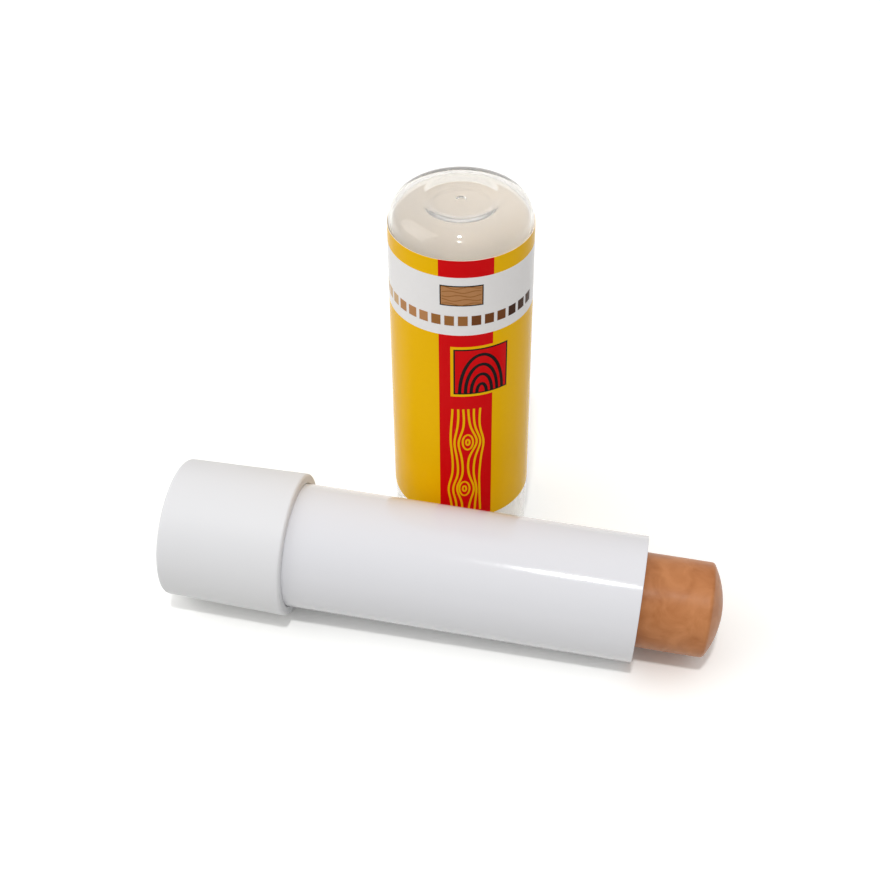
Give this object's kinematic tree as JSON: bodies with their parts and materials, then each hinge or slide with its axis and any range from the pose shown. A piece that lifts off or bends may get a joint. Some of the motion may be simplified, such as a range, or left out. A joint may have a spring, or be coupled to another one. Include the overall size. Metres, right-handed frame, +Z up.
{
  "type": "furniture repair wax stick",
  "caption": "Propelling stick of beech-brown filler wax in a white barrel with a twist base, lying beside its clear labelled cap.",
  "frame": {"origin": "on the floor, under the middle of the lying stick and its standing cap taken together", "axes": "+X along the stick towards its wax, +Y from the stick towards the cap, +Z up"},
  "size_m": [0.077, 0.0406, 0.0568],
  "materials": {
    "barrel_plastic": "glossy white moulded plastic",
    "base_plastic": "matt white moulded plastic",
    "inner_plastic": "natural white moulded plastic",
    "wax": "medium beech-brown filler wax with a soft sheen",
    "clear_plastic": "clear glossy moulded plastic",
    "label_film": "yellow printed film with one red stripe and a white band"
  },
  "bodies": {
    "barrel": {"barrel": "barrel_plastic"},
    "base": {"twist_base": "base_plastic", "drive_screw": "inner_plastic"},
    "feed": {"carrier": "inner_plastic", "wax_stick": "wax"},
    "cap": {"cap": "clear_plastic", "wrap_label": "label_film"}
  },
  "joints": [
    {"name": "base_twist", "type": "hinge", "parent": "barrel", "child": "base", "pos_m": [-0.03828, -0.01019, 0.01059], "axis": [0.9996, 0, -0.0286], "range_deg": [-517, 1570]},
    {"name": "wax_feed", "type": "slide", "parent": "barrel", "child": "feed", "axis": [0.9996, 0, -0.0286], "range_m": [-0.0115, 0.0349]},
    {"name": "cap_lift", "type": "slide", "parent": "barrel", "child": "cap", "axis": [0, 0, 1], "range_m": [0, 0.06]}
  ],
  "couplings": [
    {"joint": "wax_feed", "follows": "base_twist", "m_per_rad": 0.0012732}
  ]
}
